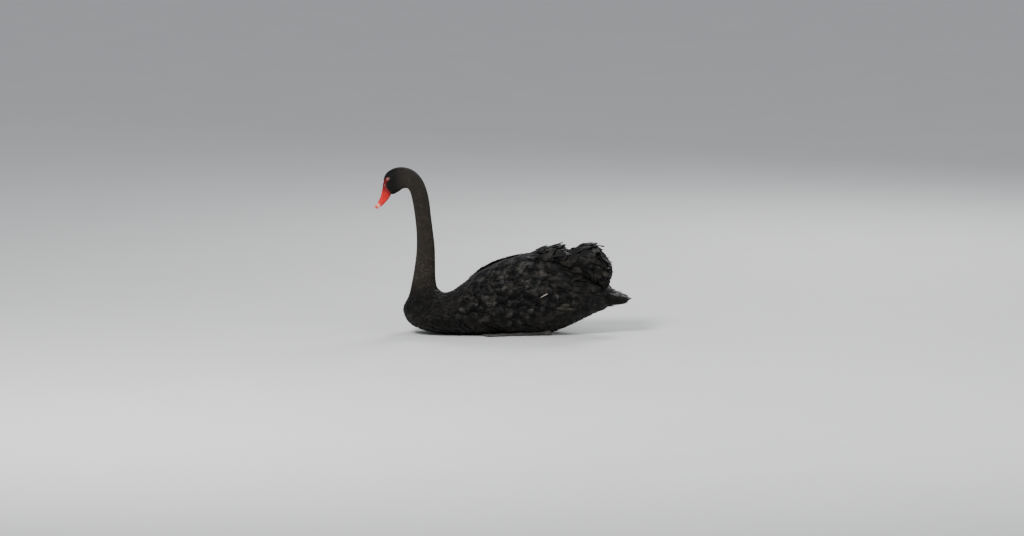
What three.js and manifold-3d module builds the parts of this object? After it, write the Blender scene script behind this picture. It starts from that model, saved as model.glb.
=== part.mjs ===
// A black swan at life size, resting on its belly with its feet tucked under and its neck upright.
// Millimetres, +Z up. The bird faces -X and its left side is -Y. The flat under its belly is centred on the
// origin.
import * as THREE from "three";
import { mergeVertices } from "three/addons/utils/BufferGeometryUtils.js";
import Module from "manifold-3d";

const wasm = await Module();
wasm.setup();
const { Manifold } = wasm;

// Driving sizes
const GAP = 0.3; // between two pieces that meet
const BODY_SIDES = 24; // facets round the neck and torso
const EYE = { x: -383.4, y: 12.6, z: 498, radius: 6.2 };
const LID = { y: 16.6, radius: 5.2, thickness: 1.2 };
const NOSTRIL = { x: -402.5, y: 12.6, z: 440, length: 5.4, height: 1.6, depth: 3.6, slope: 1.12 };
const LEG = { y: 77, turnOut: 0.12, webThickness: 2.6 };
const WING = { station: 20.9, reach: 3.75, angle: 1.0, sweep: 0.93, lift: 9 };
const COVER = 14; // no wing feather stands off the body by more than this, and the tertials start above it
const TAIL_COVER = 6; // the same for the feathers of the tail
const TERTIAL_Y = 44; // from the middle of the back to the middle of each bunch

// A rib runs from a point on the upper outline to one on the lower outline, both [x, z]. It has a half width,
// and belt says how far up the rib the body is widest.
const rib = (upper, lower, halfWidth, belt = 0.5) => ({ upper, lower, halfWidth, belt });

// The whole bird from the face, over the neck and down the torso to the root of the tail
const BODY_RIBS = {
  face: rib([-394, 470], [-394, 470], 0),
  brow: rib([-398, 494], [-380, 450], 13),
  eye: rib([-388.5, 516], [-367, 446.5], 19),
  crown: rib([-362, 532], [-350, 454.5], 23, 0.46),
  ear: rib([-334, 535], [-334, 465], 24.5, 0.46),
  nape: rib([-303.5, 525.5], [-321, 465], 24),
  arch: rib([-278, 501.5], [-313, 453], 23),
  throat: rib([-261.5, 468], [-308, 436], 23),
  neckTop: rib([-251.5, 426], [-304, 417], 23),
  neckThree: rib([-245.5, 376], [-297.5, 372], 23),
  neckTwo: rib([-239, 325], [-293, 322], 24),
  neckOne: rib([-233.5, 275], [-293, 270], 26.5),
  neckLow: rib([-232.5, 222], [-299.5, 212], 31),
  neckRoot: rib([-231, 175], [-309, 160], 39),
  collar: rib([-224, 146], [-319, 120], 54),
  saddle: rib([-204, 131], [-337, 78], 76, 0.46),
  breast: rib([-174, 137], [-318, 34], 98, 0.45),
  shoulder: rib([-130, 169], [-262, 8], 114, 0.44),
  wrist: rib([-80, 206], [-180, -3], 121, 0.44),
  back: rib([-20, 231], [-90, -6], 124, 0.44),
  middle: rib([50, 247], [20, -6], 123, 0.44),
  hip: rib([115, 251], [115, -2], 116, 0.45),
  rump: rib([180, 231], [185, 20], 100, 0.46),
  vent: rib([245, 192], [245, 48], 76, 0.48),
  tailRoot: rib([300, 155], [300, 76], 50),
  tailCore: rib([345, 112], [345, 112], 0),
};

// The bill from inside the face to the tip of its nail
const BILL_RIBS = {
  inside: rib([-388, 470], [-388, 470], 0),
  lores: rib([-398.5, 484], [-372, 458], 11.5),
  gape: rib([-401, 468], [-373.5, 446.5], 13.5, 0.4),
  base: rib([-403.8, 454], [-379.5, 434.5], 14.3, 0.36),
  nostril: rib([-407, 441], [-389, 423], 14.3, 0.36),
  blade: rib([-412.3, 428.5], [-399, 413], 14.6, 0.36),
  tip: rib([-418.5, 418], [-409.5, 405], 13.6, 0.38),
  nail: rib([-424, 410], [-418.5, 400.5], 9.5, 0.4),
  end: rib([-427, 402], [-427, 402], 0),
};

// The tarsus from the heel to the base of the toes, for a leg on the middle line
const TARSUS_RIBS = {
  behind: rib([140, 9], [140, 9], 0),
  heelBack: rib([135, 17.5], [135, 0.5], 7),
  heel: rib([124, 20], [124, -1], 8.8),
  below: rib([110, 15], [110, 1], 6.2),
  shank: rib([78, 12], [78, 1], 5),
  ankle: rib([50, 11.5], [50, 0.5], 5.6),
  toeBase: rib([36, 12.5], [36, -1], 8.5),
  inside: rib([22, 6], [22, 6], 0),
};

// The bunch of curled tertials over the rump, for a bunch on the middle line
const TERTIAL_RIBS = {
  root: rib([40, 246], [40, 246], 0),
  front: rib([66, 258], [72, 234], 20),
  spikeOne: rib([106, 270], [106, 230], 32),
  spikeTwo: rib([166, 279], [150, 222], 39),
  notch: rib([198, 263], [188, 210], 41),
  crest: rib([244, 281], [222, 198], 42),
  crestBack: rib([288, 272], [262, 178], 38),
  rear: rib([314, 240], [290, 160], 31),
  droop: rib([328, 214], [308, 152], 20),
  end: rib([320, 180], [320, 180], 0),
};

// The fan of the tail, from inside the rump to its tip
const TAIL_RIBS = {
  inside: rib([270, 112], [270, 112], 0),
  root: rib([292, 146], [292, 88], 42),
  coverts: rib([322, 143], [320, 88], 50),
  fan: rib([352, 132], [350, 92], 48),
  fanBack: rib([380, 122], [380, 99], 36),
  tip: rib([399, 112], [399, 112], 0),
};

// Toes for a foot whose toes start at the origin and point along -X
const TOE_RIBS = {
  inside: rib([12, 5], [12, 5], 0),
  root: rib([6, 11], [6, -1], 6),
  first: rib([-26, 8.5], [-26, 0.5], 4.4),
  knuckle: rib([-46, 9.5], [-46, -1], 5.2),
  second: rib([-74, 7], [-74, 0.5], 3.8),
  pad: rib([-98, 7], [-98, -1], 4),
  claw: rib([-106, 7.5], [-106, 1.5], 2.4),
  clawTip: rib([-118, 1.5], [-118, 1.5], 0),
};

// Rows of rounded feathers on the wing, front to back. Root is how far along the wing they start and tip how
// far they reach, both from -1 to 1. From and to are the ends of the row across the wing, and width is in
// millimetres.
const WING_ROWS = [
  { root: -0.84, tip: -0.42, from: -0.5, to: 0.5, count: 3, width: 44 },
  { root: -0.54, tip: -0.1, from: -0.76, to: 0.74, count: 4, width: 49 },
  { root: -0.24, tip: 0.22, from: -0.86, to: 0.86, count: 4, width: 54 },
  { root: 0.06, tip: 0.54, from: -0.8, to: 0.86, count: 4, width: 53 },
  { root: 0.34, tip: 0.84, from: -0.62, to: 0.72, count: 3, width: 52 },
  { root: 0.58, tip: 1, from: -0.4, to: 0.5, count: 2, width: 46 },
];

// Plumes of the tertials by their root and tip on the bunch, as [station, angle in radians], with the height
// of the curl at the tip
const PLUMES = [
  { from: [0.9, 0.8], to: [3.0, 0.15], width: 30, curl: 8 },
  { from: [1.2, 1.7], to: [4.0, 1.2], width: 34, curl: 9 },
  { from: [2.0, 0.9], to: [3.9, 0.1], width: 30, curl: 6 },
  { from: [2.5, 2.0], to: [5.4, 1.8], width: 36, curl: 8 },
  { from: [2.8, 0.9], to: [5.5, 0.3], width: 36, curl: 10 },
  { from: [3.6, 5.6], to: [5.8, 5.9], width: 30, curl: 9 },
  { from: [4.1, 1.4], to: [6.7, 1.1], width: 38, curl: 8 },
  { from: [4.6, 0.5], to: [7.0, 0.2], width: 36, curl: 8 },
  { from: [4.5, 2.3], to: [7.3, 2.1], width: 36, curl: 7 },
  { from: [5.0, 5.3], to: [7.2, 5.5], width: 30, curl: 6 },
];

// Feathers of the tail's upper face by the turn about its middle line, the outer ones lower
const TAIL_FEATHERS = [
  { from: [0.6, 0.25], to: [2.6, 0.2], width: 24 },
  { from: [0.6, 0.95], to: [2.7, 0.8], width: 24 },
  { from: [1.3, 0.12], to: [4.55, 0.12], width: 20 },
  { from: [1.3, 0.62], to: [4.35, 0.62], width: 21 },
  { from: [1.3, 1.1], to: [4.05, 1.15], width: 22 },
];

// Each toe's turn about the toe base and its length against the middle toe
const TOES = [
  { turn: -0.19, length: 0.86 },
  { turn: 0, length: 1 },
  { turn: 0.19, length: 0.93 },
];

// Where feathers give way to the red bare skin of the face: from above the bill towards the eye, then down to
// the gape
const FEATHER_EDGE = [
  [-398, 486.5],
  [-387.5, 489.5],
  [-388.5, 476],
  [-385.5, 462],
  [-378, 451],
  [-369, 443.5],
];
// The line of the closed mouth, from the corner to the tip
const MOUTH_LINE = [
  [-366, 454],
  [-376, 446],
  [-384, 437],
  [-393, 426.5],
  [-403, 416],
  [-412, 407],
  [-419, 400.8],
];

// Joins, cuts and placing
const vector = (x, y, z) => new THREE.Vector3(x, y, z);

function solid(geometry) {
  const bare = new THREE.BufferGeometry().setAttribute("position", geometry.getAttribute("position"));
  if (geometry.index) bare.setIndex(geometry.index);
  const merged = mergeVertices(bare, 1e-3);
  const mesh = new wasm.Mesh({
    numProp: 3,
    vertProperties: merged.attributes.position.array,
    triVerts: new Uint32Array(merged.index.array),
  });
  return new Manifold(mesh);
}

// The largest closed surface, so that a sealed hollow is filled and a loose scrap is dropped
const largest = (made) =>
  made.decompose().reduce((best, piece) => (piece.volume() > best.volume() ? piece : best));

const mirrored = (made) => made.mirror([0, 1, 0]);

const box = (x0, x1, y0, y1, z0, z1) =>
  solid(
    new THREE.BoxGeometry(x1 - x0, y1 - y0, z1 - z0).translate((x0 + x1) / 2, (y0 + y1) / 2, (z0 + z1) / 2),
  );

const aboveFloor = box(-600, 600, -400, 400, 0, 900);

// A thin sheet standing on a line of [x, z] points, pushed through the bird from side to side
function sheet(line, thickness = GAP, halfDepth = 200) {
  const points = line.map(([x, z]) => new THREE.Vector2(x, z));
  const normal = (i) => {
    const run = points[i + 1].clone().sub(points[i]).normalize();
    return new THREE.Vector2(-run.y, run.x);
  };
  const offset = (i) => {
    const before = normal(Math.max(i - 1, 0));
    const after = normal(Math.min(i, points.length - 2));
    return before.clone().add(after).multiplyScalar(thickness / 2 / (1 + before.dot(after)));
  };
  const left = points.map((p, i) => p.clone().add(offset(i)));
  const right = points.map((p, i) => p.clone().sub(offset(i))).reverse();
  const geometry = new THREE.ExtrudeGeometry(new THREE.Shape([...left, ...right]), {
    depth: 2 * halfDepth,
    bevelEnabled: false,
  });
  return solid(geometry.translate(0, 0, -halfDepth).rotateX(Math.PI / 2));
}

// A rounded form drawn through ribs, read as point(station, angle, lift): the angle is 0 on the upper outline
// and turns towards the bird's left, and lift stands off the surface.
class Loft {
  constructor(ribs, squareness = 2.3) {
    const list = Object.values(ribs);
    this.last = list.length - 1;
    this.power = 2 / squareness;
    this.turn = Math.sign(list[this.last].upper[0] - list[0].upper[0]);
    this.upper = new THREE.CatmullRomCurve3(list.map((r) => vector(r.upper[0], 0, r.upper[1])));
    this.lower = new THREE.CatmullRomCurve3(list.map((r) => vector(r.lower[0], 0, r.lower[1])));
    const widths = list.map((r) => vector(r.halfWidth, r.belt, 0));
    this.widths = new THREE.CatmullRomCurve3(widths, false, "catmullrom");
  }

  section(station) {
    const t = THREE.MathUtils.clamp(station / this.last, 0, 1);
    const upper = this.upper.getPoint(t);
    const lower = this.lower.getPoint(t);
    const width = this.widths.getPoint(t);
    return { upper, lower, middle: lower.clone().lerp(upper, width.y), halfWidth: Math.max(width.x, 0) };
  }

  surface(station, angle) {
    const { upper, lower, middle, halfWidth } = this.section(station);
    const rise = Math.cos(angle);
    const point = middle.clone().lerp(rise > 0 ? upper : lower, Math.abs(rise) ** this.power);
    point.y = -Math.sign(Math.sin(angle)) * halfWidth * Math.abs(Math.sin(angle)) ** this.power;
    return point;
  }

  frame(station, angle) {
    const step = 0.02;
    const s = THREE.MathUtils.clamp(station, step, this.last - step);
    const along = this.surface(s + step, angle).sub(this.surface(s - step, angle)).normalize();
    const round = this.surface(s, angle + step).sub(this.surface(s, angle - step)).normalize();
    return { along, round, out: round.clone().cross(along).setLength(this.turn) };
  }

  point(station, angle, lift = 0) {
    if (station < 1e-6 || station > this.last - 1e-6) {
      const inner = THREE.MathUtils.clamp(station, 0.3, this.last - 0.3);
      const end = this.section(station).middle;
      return end.clone().add(end.clone().sub(this.section(inner).middle).setLength(lift));
    }
    return this.surface(station, angle).addScaledVector(this.frame(station, angle).out, lift);
  }

  // A sheet between two pieces at a station, reaching beyond the outline on both sides
  parting(station, beyond = 30) {
    const { upper, lower } = this.section(station);
    const run = upper.clone().sub(lower).setLength(beyond);
    const ends = [lower.clone().sub(run), upper.clone().add(run)];
    return sheet(ends.map((end) => [end.x, end.z]));
  }

  solid(sides, ringsPerRib = 2, lift = 0) {
    const geometry = new THREE.SphereGeometry(1, sides, this.last * ringsPerRib);
    const { position, uv } = geometry.attributes;
    for (let i = 0; i < position.count; i++) {
      const angle = ((1 - this.turn * uv.getX(i)) % 1) * 2 * Math.PI;
      const point = this.point((1 - uv.getY(i)) * this.last, angle, lift);
      position.setXYZ(i, point.x, point.y, point.z);
    }
    return solid(geometry);
  }
}

const body = new Loft(BODY_RIBS, 2.3);

// A rounded pad on the bird's left side, lying on the body and thinning to its border
function pad({ station, reach, angle, sweep, lift }, squareness = 2.6) {
  const geometry = new THREE.SphereGeometry(1, 20, 8).rotateX(Math.PI / 2);
  const { position } = geometry.attributes;
  for (let i = 0; i < position.count; i++) {
    const x = Math.abs(position.getX(i)) < 1e-6 ? 0 : position.getX(i);
    const y = Math.abs(position.getY(i)) < 1e-6 ? 0 : position.getY(i);
    const flat = Math.hypot(x, y);
    const round = (Math.abs(x) ** squareness + Math.abs(y) ** squareness) ** (1 / squareness);
    const spread = flat > 0 ? flat / round : 1;
    const rise = Math.sign(position.getZ(i)) * Math.abs(position.getZ(i)) ** 0.6;
    const high = lift * (0.88 + 0.12 * x) * rise;
    const at = body.point(station + reach * spread * x, angle - sweep * spread * y, high);
    position.setXYZ(i, at.x, at.y, at.z);
  }
  return solid(geometry);
}

// A feather lying on a form from one [station, angle] to another. It is broad at its middle and round at the
// tip, with its root sunk and its tip lifted off, and curl turns the last part up. Both faces are split alike.
const FEATHER_STEPS = [0, 0.45, 0.84, 1];
const FEATHER_WIDTHS = [0.6, 1, 0.84, 0.3];

function feather(form, shape) {
  const { from, to, width, sink = 0, rise = 0, curl = 0, arch = 0, roll = 0, thickness = 1.7 } = shape;
  const place = (t) => [THREE.MathUtils.lerp(from[0], to[0], t), THREE.MathUtils.lerp(from[1], to[1], t)];
  const spine = (t) => form.point(...place(t), THREE.MathUtils.lerp(sink, rise, t) + curl * t ** 4);
  const section = arch
    ? [[-1, -arch, 1], [0, 0, 1], [1, -arch, 1], [1, -arch, -1], [0, 0, -1], [-1, -arch, -1]]
    : [[-1, 0, 1], [1, 0, 1], [1, 0, -1], [-1, 0, -1]];
  const sides = section.length;
  const points = [];
  const index = [];
  FEATHER_STEPS.forEach((t, ring) => {
    const at = spine(t);
    const forward = spine(t + 0.03).sub(spine(t - 0.03)).normalize();
    const { out } = form.frame(...place(t));
    const across = forward.clone().cross(out).normalize();
    const up = across.clone().cross(forward);
    for (const [side, drop, face] of section) {
      const half = (width / 2) * FEATHER_WIDTHS[ring];
      const height = (thickness / 2) * face + (drop + roll * side) * FEATHER_WIDTHS[ring];
      points.push(...at.clone().addScaledVector(across, side * half).addScaledVector(up, height));
    }
    if (ring === 0) return;
    for (let k = 0; k < sides; k++) {
      const [a, b] = [k, (k + 1) % sides].map((corner) => (ring - 1) * sides + corner);
      const [c, d] = [a + sides, b + sides];
      index.push(...(k < sides / 2 ? [a, b, d, a, d, c] : [a, b, c, b, d, c]));
    }
  });
  const last = (FEATHER_STEPS.length - 1) * sides;
  for (let k = 0; k < sides / 2 - 1; k++) {
    const ends = [k, k + 1, sides - 2 - k, sides - 1 - k];
    const [a, b, c, d] = ends;
    index.push(a, c, b, a, d, c);
    index.push(last + a, last + b, last + c, last + a, last + c, last + d);
  }
  const geometry = new THREE.BufferGeometry();
  geometry.setAttribute("position", new THREE.Float32BufferAttribute(points, 3));
  geometry.setIndex(index);
  return solid(geometry);
}

// Flesh and bill in one form, with the pits and the rims of the eyes
const ellipsoid = (radius, x, y, z, stretch = [1, 1, 1], slope = 0) =>
  solid(new THREE.SphereGeometry(radius, 10, 6).scale(...stretch).rotateY(slope).translate(x, y, z));
const eye = ellipsoid(EYE.radius, EYE.x, -EYE.y, EYE.z);
const socket = ellipsoid(EYE.radius + 1.4 * GAP, EYE.x, -EYE.y, EYE.z);
const lidRing = new THREE.TorusGeometry(LID.radius, LID.thickness, 5, 12);
const lid = solid(lidRing.rotateX(Math.PI / 2).translate(EYE.x, -LID.y, EYE.z));
const nostril = ellipsoid(
  1,
  NOSTRIL.x,
  -NOSTRIL.y,
  NOSTRIL.z,
  [NOSTRIL.length, NOSTRIL.depth, NOSTRIL.height],
  NOSTRIL.slope,
);

const bill = new Loft(BILL_RIBS, 2.4);
const tail = new Loft(TAIL_RIBS, 2.4);
const flesh = body.solid(BODY_SIDES);
const whole = Manifold.union([flesh, bill.solid(16), tail.solid(16), lid, mirrored(lid)]);
const pits = [socket, mirrored(socket), nostril, mirrored(nostril)];
const partings = [
  sheet([[-430, 485], ...FEATHER_EDGE, [-358, 434]]),
  sheet(MOUTH_LINE.concat([[-440, 388]]), 0.5),
  ...[5.6, 9, 11, 13.5, 24].map((station) => body.parting(station)),
];

// The legs lie along the floor under the flanks
const tarsusForm = new Loft(TARSUS_RIBS, 2.2);
const toeForm = new Loft(TOE_RIBS, 2);
const toeBaseX = 30;

function footForm(lift) {
  const toes = TOES.map(({ turn, length }) =>
    toeForm
      .solid(6, 1, lift)
      .scale([length, 1, 1])
      .rotate([0, 0, THREE.MathUtils.radToDeg(turn)]),
  );
  const tip = ({ turn, length }, part = 0.9) => {
    const reach = 104 * length * part;
    return new THREE.Vector2(-reach * Math.cos(turn), -reach * Math.sin(turn));
  };
  const web = new THREE.Shape();
  web.moveTo(8, -4);
  web.lineTo(8, 4);
  web.lineTo(tip(TOES[0]).x, tip(TOES[0]).y);
  const between = (a, b) => tip(a, 0.72).add(tip(b, 0.72)).multiplyScalar(0.5);
  for (let i = 1; i < TOES.length; i++) {
    const hollow = between(TOES[i - 1], TOES[i]);
    const end = tip(TOES[i]);
    web.quadraticCurveTo(hollow.x, hollow.y, end.x, end.y);
  }
  const plate = new THREE.ExtrudeGeometry(web, {
    depth: LEG.webThickness + 2 * lift,
    bevelEnabled: false,
    curveSegments: 2,
  });
  const skin = solid(plate.translate(0, 0, 1.2 - lift));
  return Manifold.union([...toes, skin]).translate([toeBaseX, 0, 0]);
}

const leftLeg = (form) =>
  form
    .rotate([0, 0, THREE.MathUtils.radToDeg(LEG.turnOut)])
    .translate([0, -LEG.y, 0])
    .intersect(aboveFloor);
const legParting = sheet([[toeBaseX + 8, -5], [toeBaseX + 8, 40]]);
const leg = leftLeg(Manifold.union([tarsusForm.solid(8), footForm(0)]).subtract(legParting));
const legRoom = leftLeg(Manifold.union([tarsusForm.solid(8, 2, 1.6 * GAP), footForm(1.6 * GAP)]));

// Wings: a core under rows of feathers, which are laid like tiles, every second row shifted
const wingAt = (along, over) => [WING.station + WING.reach * along, WING.angle - WING.sweep * over];
const wingFeathers = WING_ROWS.flatMap(({ root, tip, from, to, count, width }, row) =>
  Array.from({ length: count }, (_, i) => {
    const over = THREE.MathUtils.lerp(from, to, (i + (row % 2 ? 0.35 : 0.65)) / count);
    const reach = tip - 0.1 * over * over;
    return feather(body, {
      from: wingAt(root, over),
      to: wingAt(reach, over * 0.92 - 0.02),
      width,
      sink: 2.5 + 0.5 * row,
      rise: 10 + 0.25 * row,
      roll: -1.3,
    });
  }),
);
const leftHalf = box(-600, 600, -400, -1, -10, 900);
const wingCover = body.solid(BODY_SIDES, 2, COVER);
const torsoRoom = body.solid(BODY_SIDES, 2, 1.4 * GAP);
const tailRoom = tail.solid(16, 2, TAIL_COVER + 1.4 * GAP);
const wing = largest(
  Manifold.union([pad(WING), ...wingFeathers])
    .intersect(wingCover)
    .intersect(leftHalf)
    .subtract(torsoRoom)
    .subtract(tailRoom),
);

// Tertials: a core and curled plumes, all above the wing's feathers
const tertialForm = new Loft(TERTIAL_RIBS, 2.2);
const tertialRoom = body.solid(BODY_SIDES, 2, COVER + 1.4 * GAP);
const plumes = PLUMES.map((plume) =>
  feather(tertialForm, { ...plume, sink: -5, rise: 3, arch: 4, thickness: 2 }),
);
const tertials = largest(
  Manifold.union([tertialForm.solid(14, 1, -3), ...plumes])
    .translate([0, -TERTIAL_Y, 0])
    .intersect(leftHalf)
    .subtract(tertialRoom)
    .subtract(tailRoom),
);

// The piece whose middle lies nearest to a point [x, z]
function pieceAt(list, x, z) {
  const far = (piece) => {
    const { min, max } = piece.boundingBox();
    return Math.hypot((min[0] + max[0]) / 2 - x, (min[2] + max[2]) / 2 - z);
  };
  return list.reduce((best, piece) => (far(piece) < far(best) ? piece : best));
}

const pieces = Manifold.difference([whole, ...pits, ...partings, legRoom, mirrored(legRoom)])
  .intersect(aboveFloor)
  .decompose()
  .filter((piece) => piece.volume() > 100);
const legPieces = leg.decompose();

// Feathers over the fan, behind the sheet that parts it from the torso
const tailFeathers = TAIL_FEATHERS.map((one, i) =>
  feather(tail, { ...one, sink: -3, rise: 2.6 + 0.4 * (i % 2) }),
);
const behindTorso = box(300.2, 600, -300, 300, 0, 400);
const tailParts = [pieceAt(pieces, 350, 115), ...tailFeathers, ...tailFeathers.map(mirrored)];
const tailFan = largest(Manifold.union(tailParts).intersect(behindTorso));

const PLUMAGE = { color: 0x161614, roughness: 0.62, metalness: 0 };
const NECK = { color: 0x2f2e2a, roughness: 0.8, metalness: 0 };
const BILL = { color: 0xbf2a26, roughness: 0.32, metalness: 0 };
const EYES = { color: 0x6a1a14, roughness: 0.08, metalness: 0 };
const LEGS = { color: 0x2b2a2a, roughness: 0.55, metalness: 0 };

const group = new THREE.Group();

function add(name, made, look) {
  const mesh = made.getMesh();
  const geometry = new THREE.BufferGeometry();
  geometry.setAttribute("position", new THREE.BufferAttribute(mesh.vertProperties, 3));
  geometry.setIndex(new THREE.BufferAttribute(mesh.triVerts, 1));
  geometry.computeVertexNormals();
  const part = new THREE.Mesh(geometry, new THREE.MeshStandardMaterial(look));
  part.name = name;
  group.add(part);
}

function addPair(name, made, look) {
  add(`${name}_left`, made, look);
  add(`${name}_right`, mirrored(made), look);
}

add("head", pieceAt(pieces, -340, 490), NECK);
add("bill_upper", pieceAt(pieces, -403, 445), BILL);
add("bill_lower", pieceAt(pieces, -397, 420), BILL);
add("neck_upper", pieceAt(pieces, -280, 430), NECK);
add("neck_middle", pieceAt(pieces, -266, 320), NECK);
add("neck_lower", pieceAt(pieces, -268, 210), NECK);
add("torso", pieceAt(pieces, -20, 120), PLUMAGE);
add("tail", tailFan, PLUMAGE);
addPair("eye", eye, EYES);
addPair("wing", wing, PLUMAGE);
addPair("tertials", tertials, PLUMAGE);
addPair("tarsus", pieceAt(legPieces, 90, 10), LEGS);
addPair("foot", pieceAt(legPieces, -30, 5), LEGS);

export default group;
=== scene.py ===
# %% [markdown]
# # A black swan, still and at life size
# The bird rests on its belly with its neck upright and faces -X. Its head, neck and torso are one smooth form,
# so a skin is drawn through ribs first. Feathers are then laid over it in rows, from the face to the tail, and
# the bill, the eyes and the feet are made last. The construction model gives every place and size, so it is
# loaded before anything else. The seed is fixed, so that every feather falls in the same place.

# %% Load the frame
import math

import bpy
import numpy as np
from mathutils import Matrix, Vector


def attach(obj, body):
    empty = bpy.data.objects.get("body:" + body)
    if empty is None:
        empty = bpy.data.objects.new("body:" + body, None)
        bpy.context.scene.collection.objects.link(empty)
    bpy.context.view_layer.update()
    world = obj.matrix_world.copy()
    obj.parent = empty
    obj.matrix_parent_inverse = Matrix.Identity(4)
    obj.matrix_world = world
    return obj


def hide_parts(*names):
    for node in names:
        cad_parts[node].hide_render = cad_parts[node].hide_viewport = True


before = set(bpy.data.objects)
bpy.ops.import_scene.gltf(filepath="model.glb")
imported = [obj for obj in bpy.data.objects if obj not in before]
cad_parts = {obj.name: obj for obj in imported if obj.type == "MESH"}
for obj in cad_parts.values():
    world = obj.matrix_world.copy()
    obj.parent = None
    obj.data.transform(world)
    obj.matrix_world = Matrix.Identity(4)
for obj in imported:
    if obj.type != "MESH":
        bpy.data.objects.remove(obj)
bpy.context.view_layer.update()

random = np.random.default_rng(11)
MM = 0.001

# %% [markdown]
# A rib is a pair of points on the upper and the lower outline with a half width between them. A smooth curve
# through all the upper points and another through all the lower ones give the outline of the bird from the side.


# %% Forms drawn through ribs
def rib(upper, lower, half_width, belt=0.5):
    return (*upper, *lower, half_width, belt)


BODY_RIBS = [
    rib((-394, 470), (-394, 470), 0),
    rib((-398, 494), (-380, 450), 13),
    rib((-388.5, 516), (-367, 446.5), 19),
    rib((-362, 532), (-350, 454.5), 23, 0.46),
    rib((-334, 535), (-334, 465), 24.5, 0.46),
    rib((-303.5, 525.5), (-321, 465), 24),
    rib((-278, 501.5), (-313, 453), 23),
    rib((-261.5, 468), (-308, 436), 23),
    rib((-251.5, 426), (-304, 417), 23),
    rib((-245.5, 376), (-297.5, 372), 23),
    rib((-239, 325), (-293, 322), 24),
    rib((-233.5, 275), (-293, 270), 26.5),
    rib((-232.5, 222), (-299.5, 212), 31),
    rib((-231, 175), (-309, 160), 39),
    rib((-224, 146), (-319, 120), 54),
    rib((-204, 131), (-337, 78), 76, 0.46),
    rib((-174, 137), (-318, 34), 98, 0.45),
    rib((-130, 169), (-262, 8), 114, 0.44),
    rib((-80, 206), (-180, -3), 121, 0.44),
    rib((-20, 231), (-90, -6), 124, 0.44),
    rib((50, 247), (20, -6), 123, 0.44),
    rib((115, 251), (115, -2), 116, 0.45),
    rib((180, 231), (185, 20), 100, 0.46),
    rib((245, 192), (245, 48), 76, 0.48),
    rib((300, 155), (300, 76), 50),
    rib((345, 112), (345, 112), 0),
]


def smooth_curve(points, power, steps=40):
    """A curve through the points, finely stepped. Power 0.25 keeps it from overshooting at uneven distances."""
    points = np.asarray(points, float)
    ends = [2 * points[0] - points[1], *points, 2 * points[-1] - points[-2]]
    made = []
    for p0, p1, p2, p3 in zip(ends, ends[1:], ends[2:], ends[3:]):
        d0, d1, d2 = [max(np.sum((b - a) ** 2), 1e-9) ** power for a, b in ((p0, p1), (p1, p2), (p2, p3))]
        out = ((p1 - p0) / d0 - (p2 - p0) / (d0 + d1) + (p2 - p1) / d1) * d1
        into = ((p2 - p1) / d1 - (p3 - p1) / (d1 + d2) + (p3 - p2) / d2) * d1
        t = np.linspace(0, 1, steps, endpoint=False)[:, None]
        rise = -3 * p1 + 3 * p2 - 2 * out - into
        made.append(p1 + out * t + rise * t**2 + (2 * p1 - 2 * p2 + out + into) * t**3)
    return np.vstack([*made, points[-1:]])


class Form:
    """A rounded form: a place on it is a station along the ribs and an angle round it, 0 along the top."""

    def __init__(self, ribs, squareness=2.3, shift=(0, 0, 0)):
        ribs = np.asarray(ribs, float)
        self.last = len(ribs) - 1
        self.power = 2 / squareness
        self.shift = np.asarray(shift, float)
        self.turn = np.sign(ribs[-1, 0] - ribs[0, 0])
        parts = [(ribs[:, 0:2], 0.25), (ribs[:, 2:4], 0.25), (ribs[:, 4:6], 0.0)]
        self.table = np.hstack([smooth_curve(part, power) for part, power in parts])
        self.rows = np.linspace(0, self.last, len(self.table))

    def section(self, station):
        """Upper and lower point, half width and belt at a station."""
        return [np.interp(station, self.rows, column) for column in self.table.T]

    def surface(self, station, angle):
        station = np.clip(station, 0, self.last)
        ux, uz, lx, lz, half, belt = self.section(station)
        mx, mz = lx + (ux - lx) * belt, lz + (uz - lz) * belt
        cos, sin = np.cos(angle), np.sin(angle)
        reach = np.abs(cos) ** self.power
        ex, ez = np.where(cos > 0, ux, lx), np.where(cos > 0, uz, lz)
        side = -np.sign(sin) * np.maximum(half, 0) * np.abs(sin) ** self.power
        place = np.stack([mx + (ex - mx) * reach, side, mz + (ez - mz) * reach], -1)
        return (place + self.shift) * MM

    def frame(self, station, angle):
        """The directions along, around and out of the form. The first two tell how far it is stretched."""
        s = np.clip(station, 0.03, self.last - 0.03)
        along = self.surface(s + 0.02, angle) - self.surface(s - 0.02, angle)
        around = self.surface(s, angle + 0.03) - self.surface(s, angle - 0.03)
        out = self.turn * np.cross(around, along)
        return along / 0.04, around / 0.06, out / np.maximum(np.linalg.norm(out, axis=-1, keepdims=True), 1e-12)

    def point(self, station, angle, lift):
        """A place on the form, lifted off it."""
        out = self.frame(station, angle)[2]
        return self.surface(station, angle) + out * np.asarray(lift)[..., None]


body = Form(BODY_RIBS)
print("the body runs from", body.surface(0, 0.0).round(3), "to", body.surface(body.last, 0.0).round(3))

# %% [markdown]
# The folded wing swells over the side of the body. Its swelling is one smooth pad, measured from a middle on the
# flank, and the bare red skin of the face is a patch with its own edge. Both are read from station and angle, so
# the skin and the feathers on it agree.


# %% Where the wing swells
TURN = 2 * math.pi
SIDES = ((1, "left"), (-1, "right"))
WING_STATION, WING_REACH = 20.9, 3.75
WING_ANGLE, WING_TURN = 1.0, 0.93
WING_CORNERS = 2.6
WING_SWELL = 9 * MM


def wing_place(station, angle):
    """How far a place is along (x) and across (y) the folded wing, each -1 to 1, and how far out (radius)."""
    side = np.abs((angle + math.pi) % TURN - math.pi)
    x, y = (station - WING_STATION) / WING_REACH, (WING_ANGLE - side) / WING_TURN
    return x, y, (np.abs(x) ** WING_CORNERS + np.abs(y) ** WING_CORNERS) ** (1 / WING_CORNERS)


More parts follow.
